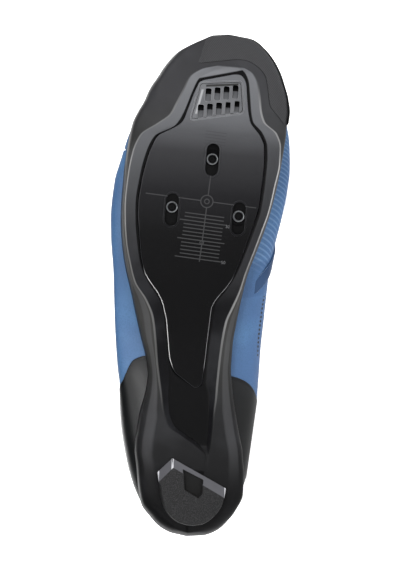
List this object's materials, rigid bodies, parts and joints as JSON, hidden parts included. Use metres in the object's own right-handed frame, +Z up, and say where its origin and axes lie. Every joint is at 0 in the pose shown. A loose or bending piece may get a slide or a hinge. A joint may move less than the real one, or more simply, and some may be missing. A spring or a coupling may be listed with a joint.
{
  "type": "cycling shoe",
  "caption": "Right road cycling shoe lying on its medial side: stiff sole with a glossy plate, slotted cleat holes, toe vent and heel pad under a blue hollow upper with two straps.",
  "frame": {"origin": "bottom centre of the bounding box, on the floor the shoe lies on", "axes": "+X towards the toe, +Y towards the collar's side (the sole faces -Y), +Z up, which is the lateral side"},
  "size_m": [0.2824, 0.1172, 0.0966],
  "materials": {
    "upper_synthetic_leather": "smooth synthetic leather, satin",
    "counter_black": "black satin synthetic",
    "tongue_fabric": "padded mesh",
    "insole_fabric": "knitted top cloth",
    "strap_synthetic": "satin synthetic",
    "sole_frame_grey": "satin moulded nylon",
    "plate_gloss_black": "polished black",
    "vent_grey": "satin moulded",
    "bumper_rubber": "matte, fine ribs",
    "heel_rubber": "matte, fine grain",
    "nut_steel": "zinc plated"
  },
  "bodies": {
    "shoe": {"upper": "upper_synthetic_leather", "heel_counter": "counter_black", "tongue": "tongue_fabric", "insole": "insole_fabric", "front_strap": "strap_synthetic", "instep_strap": "strap_synthetic", "outsole": "sole_frame_grey", "sole_plate": "plate_gloss_black", "toe_vent": "vent_grey", "toe_bumper": "bumper_rubber", "heel_pad": "heel_rubber"},
    "nut_front": {"nut_front": "nut_steel"},
    "nut_lateral": {"nut_lateral": "nut_steel"},
    "nut_medial": {"nut_medial": "nut_steel"}
  },
  "joints": [
    {"name": "nut_front_slide", "type": "slide", "parent": "shoe", "child": "nut_front", "axis": [0.9984, 0, 0.0568], "range_m": [-0.00585, 0.00515]},
    {"name": "nut_lateral_slide", "type": "slide", "parent": "shoe", "child": "nut_lateral", "axis": [0.9984, 0, 0.0568], "range_m": [-0.007, 0.004]},
    {"name": "nut_medial_slide", "type": "slide", "parent": "shoe", "child": "nut_medial", "axis": [0.9984, 0, 0.0568], "range_m": [-0.0067, 0.0043]}
  ]
}
